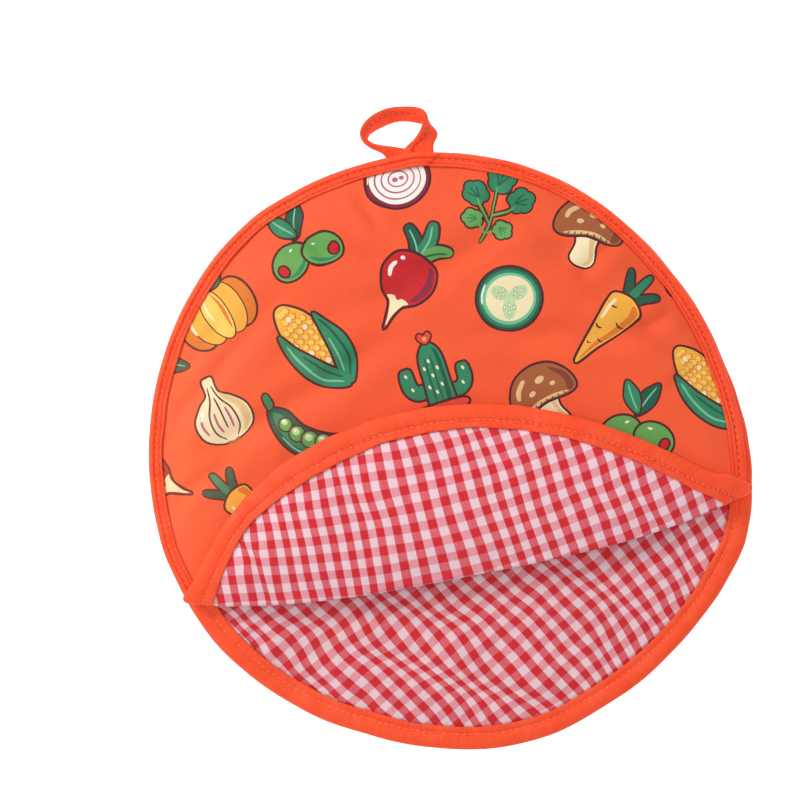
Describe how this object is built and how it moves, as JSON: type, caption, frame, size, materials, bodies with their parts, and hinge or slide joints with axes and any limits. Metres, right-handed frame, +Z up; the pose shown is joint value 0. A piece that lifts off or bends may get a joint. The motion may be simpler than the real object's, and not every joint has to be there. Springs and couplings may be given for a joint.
{
  "type": "tortilla warmer",
  "caption": "Round padded cloth pouch that keeps flat breads warm, with a printed outside, checked lining, taped edges, a fold-back front flap and a hanging loop.",
  "frame": {"origin": "centre of the back disc's underside, on the surface the pouch lies on", "axes": "+Z up through the pouch's thickness, +Y along the pouch towards the hanging loop, +X to the right as seen from the front"},
  "size_m": [0.305, 0.3339, 0.0258],
  "materials": {
    "printed_outer": "printed polyester twill, satin",
    "gingham_lining": "yarn-dyed red and white checked plain weave, matte",
    "binding_tape": "folded bias tape, soft sheen",
    "thread": "polyester sewing thread",
    "wadding": "needled polyester wadding",
    "heat_film": "metallised film, crinkled"
  },
  "bodies": {
    "pouch": {"back_outer": "printed_outer", "back_wadding": "wadding", "back_heat_film": "heat_film", "back_lining": "gingham_lining", "back_binding": "binding_tape", "back_binding_thread": "thread", "front_outer_upper": "printed_outer", "front_wadding_upper": "wadding", "front_heat_film_upper": "heat_film", "front_lining_upper": "gingham_lining", "front_binding_upper": "binding_tape", "front_binding_thread_upper": "thread", "closing_seam_thread": "thread", "loop_tail": "binding_tape", "loop_tack_thread": "thread"},
    "flap": {"front_outer_flap": "printed_outer", "front_wadding_flap": "wadding", "front_heat_film_flap": "heat_film", "front_lining_flap": "gingham_lining", "front_binding_flap": "binding_tape", "front_binding_thread_flap": "thread"},
    "loop": {"hanging_loop": "binding_tape", "hanging_loop_thread": "thread"}
  },
  "joints": [
    {"name": "flap_fold", "type": "hinge", "parent": "pouch", "child": "flap", "pos_m": [0, -0.0625, 0.0139], "axis": [1, 0, 0], "range_deg": [0, 177.5]},
    {"name": "loop_swing", "type": "hinge", "parent": "pouch", "child": "loop", "pos_m": [0.0065, 0.1555, 0.0048], "axis": [1, 0, 0], "range_deg": [-55, 75]}
  ]
}
